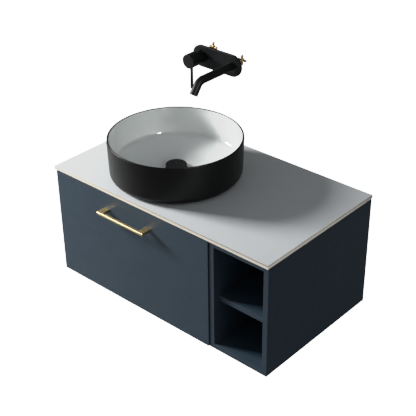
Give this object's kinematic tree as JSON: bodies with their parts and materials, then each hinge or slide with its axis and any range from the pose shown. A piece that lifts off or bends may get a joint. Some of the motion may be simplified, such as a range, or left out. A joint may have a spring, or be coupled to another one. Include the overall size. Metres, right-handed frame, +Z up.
{
  "type": "vessel sink on vanity",
  "caption": "Wall-hung washstand: round vessel basin on a thin top over a drawer unit and an open shelf unit, with waste, trap and wall tap.",
  "frame": {"origin": "on the wall's face, in the middle of the four wall-screw holes of the two hanger plates, which is on the drawer unit's centre line", "axes": "+X to the right along the front, +Y into the wall, +Z up; the room is on the -Y side"},
  "size_m": [0.803, 0.553, 0.65],
  "materials": {
    "lacquer": "matt blue-grey lacquer on MDF",
    "drawer_board": "grey laminated chipboard",
    "beech": "fluted beech",
    "steel": "zinc plated",
    "handle_brass": "brushed, satin lacquered",
    "cast_brass": "machined casting",
    "top_stone": "matt white face on a cream core",
    "basin_glaze": "satin black outside, gloss white inside",
    "soft_rubber": "soft",
    "black_coat": "matt black powder coat",
    "chrome_waste": "plated",
    "trap_plastic": "white polypropylene",
    "white_plastic": "acetal"
  },
  "bodies": {
    "washstand": {"aerator": "white_plastic", "basin": "basin_glaze", "basin_sealant": "soft_rubber", "cabinet_hanger_left": "steel", "cabinet_hanger_right": "steel", "cabinet_screws": "steel", "carcass_dowels": "beech", "click_cartridge": "white_plastic", "countertop": "top_stone", "drawer_unit_bottom": "lacquer", "drawer_unit_front_rail": "lacquer", "drawer_unit_hanging_rail": "lacquer", "drawer_unit_left_side": "lacquer", "drawer_unit_lower_rail": "lacquer", "drawer_unit_right_side": "lacquer", "front_bumpers": "soft_rubber", "runner_cabinet_member_left": "steel", "runner_cabinet_member_right": "steel", "shelf_board": "lacquer", "shelf_pins": "steel", "shelf_unit_back": "lacquer", "shelf_unit_bottom": "lacquer", "shelf_unit_left_side": "lacquer", "shelf_unit_right_side": "lacquer", "shelf_unit_top": "lacquer", "spout": "black_coat", "tap_body": "cast_brass", "tap_cartridge": "white_plastic", "tap_clamp_nuts": "cast_brass", "tap_plate": "black_coat", "tap_sleeve": "black_coat", "tap_studs": "steel", "trap_body": "trap_plastic", "trap_cup": "trap_plastic", "trap_inlet_pipe": "trap_plastic", "trap_nuts": "trap_plastic", "trap_outlet_pipe": "trap_plastic", "wall_flange": "trap_plastic", "wall_plates": "steel", "waste_body": "black_coat", "waste_gaskets": "soft_rubber", "waste_locknut": "chrome_waste"},
    "drawer": {"drawer_front": "lacquer", "drawer_left_side": "drawer_board", "drawer_right_side": "drawer_board", "drawer_bottom": "drawer_board", "drawer_back": "drawer_board", "drawer_well": "drawer_board", "drawer_dowels": "beech", "drawer_screws": "steel", "handle_bar": "handle_brass", "handle_feet": "handle_brass", "runner_drawer_member_left": "steel", "runner_drawer_member_right": "steel"},
    "runner_middle_left": {"runner_middle_member_left": "steel"},
    "runner_middle_right": {"runner_middle_member_right": "steel"},
    "popup_plug": {"popup_cap": "black_coat"},
    "tap_control": {"tap_handle": "black_coat", "tap_lever": "black_coat"}
  },
  "joints": [
    {"name": "drawer_slide", "type": "slide", "parent": "washstand", "child": "drawer", "axis": [0, -1, 0], "range_m": [0, 0.38]},
    {"name": "runner_middle_left_slide", "type": "slide", "parent": "washstand", "child": "runner_middle_left", "axis": [0, -1, 0], "range_m": [0, 0.195]},
    {"name": "runner_middle_right_slide", "type": "slide", "parent": "washstand", "child": "runner_middle_right", "axis": [0, -1, 0], "range_m": [0, 0.195]},
    {"name": "popup_slide", "type": "slide", "parent": "washstand", "child": "popup_plug", "axis": [0, 0, 1], "range_m": [-0.0078, 0], "stiffness_N_per_m": 200, "springref_m": 0.012},
    {"name": "tap_turn", "type": "hinge", "parent": "washstand", "child": "tap_control", "pos_m": [-0.127, -0.051, 0.318], "axis": [0, 1, 0], "range_deg": [0, 100]}
  ],
  "couplings": [
    {"joint": "runner_middle_left_slide", "follows": "drawer_slide", "ratio": 0.5},
    {"joint": "runner_middle_right_slide", "follows": "drawer_slide", "ratio": 0.5}
  ]
}
